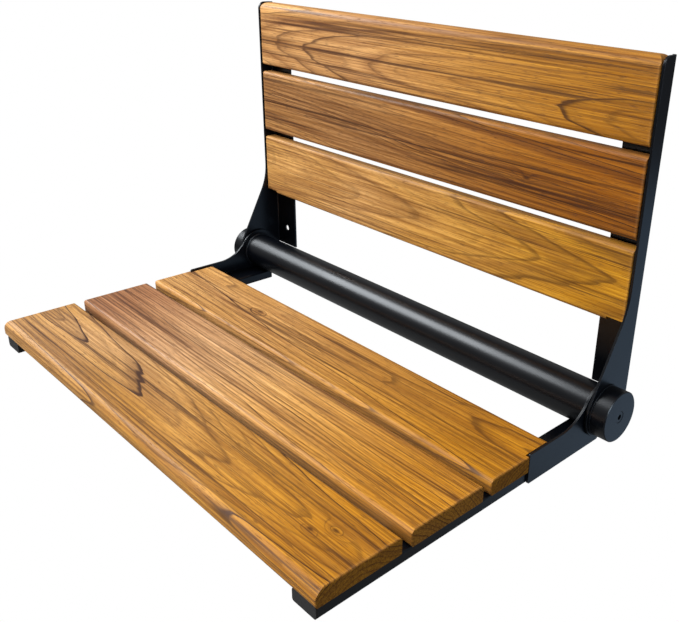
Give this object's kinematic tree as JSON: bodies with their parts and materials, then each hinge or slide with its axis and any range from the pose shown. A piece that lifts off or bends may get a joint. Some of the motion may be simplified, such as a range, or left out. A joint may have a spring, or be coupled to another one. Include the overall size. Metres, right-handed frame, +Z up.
{
  "type": "fold-down shower seat",
  "caption": "Wall-mounted folding shower seat with a slatted teak seat and backrest on black steel brackets and a cross tube.",
  "frame": {"origin": "on the wall face, at the centre of the four wall-fixing holes, midway between the two brackets", "axes": "+Z up, +X to the right for somebody facing the wall, +Y into the wall; the seat reaches out along -Y"},
  "size_m": [0.6562, 0.413, 0.3894],
  "materials": {
    "teak_boards": "oiled, satin",
    "black_powder_coat": "fine satin powder coat",
    "black_nylon": "moulded, matte",
    "stainless_fixings": "bright stainless"
  },
  "bodies": {
    "wall_frame": {"left_back_bracket": "black_powder_coat", "right_back_bracket": "black_powder_coat", "left_back_screws": "stainless_fixings", "right_back_screws": "stainless_fixings", "left_hinge_pin": "stainless_fixings", "right_hinge_pin": "stainless_fixings", "left_friction_washer": "black_nylon", "right_friction_washer": "black_nylon", "left_hub_ring": "black_powder_coat", "right_hub_ring": "black_powder_coat", "left_hub_cap": "black_powder_coat", "right_hub_cap": "black_powder_coat", "left_hub_screw": "black_powder_coat", "right_hub_screw": "black_powder_coat", "back_board_top": "teak_boards", "back_board_middle": "teak_boards", "back_board_bottom": "teak_boards"},
    "seat": {"cross_tube": "black_powder_coat", "left_tube_collar": "black_powder_coat", "right_tube_collar": "black_powder_coat", "left_side_plate": "black_powder_coat", "right_side_plate": "black_powder_coat", "left_stop_pin": "stainless_fixings", "right_stop_pin": "stainless_fixings", "left_hinge_bush": "black_nylon", "right_hinge_bush": "black_nylon", "left_seat_bar": "black_powder_coat", "right_seat_bar": "black_powder_coat", "left_bar_front_cap": "black_nylon", "right_bar_front_cap": "black_nylon", "left_bar_rear_cap": "black_nylon", "right_bar_rear_cap": "black_nylon", "left_seat_screws": "stainless_fixings", "right_seat_screws": "stainless_fixings", "seat_board_front": "teak_boards", "seat_board_middle": "teak_boards", "seat_board_rear": "teak_boards"}
  },
  "joints": [
    {"name": "seat_fold", "type": "hinge", "parent": "wall_frame", "child": "seat", "pos_m": [0, -0.043, -0.169], "axis": [-1, 0, 0], "range_deg": [0, 90]}
  ]
}
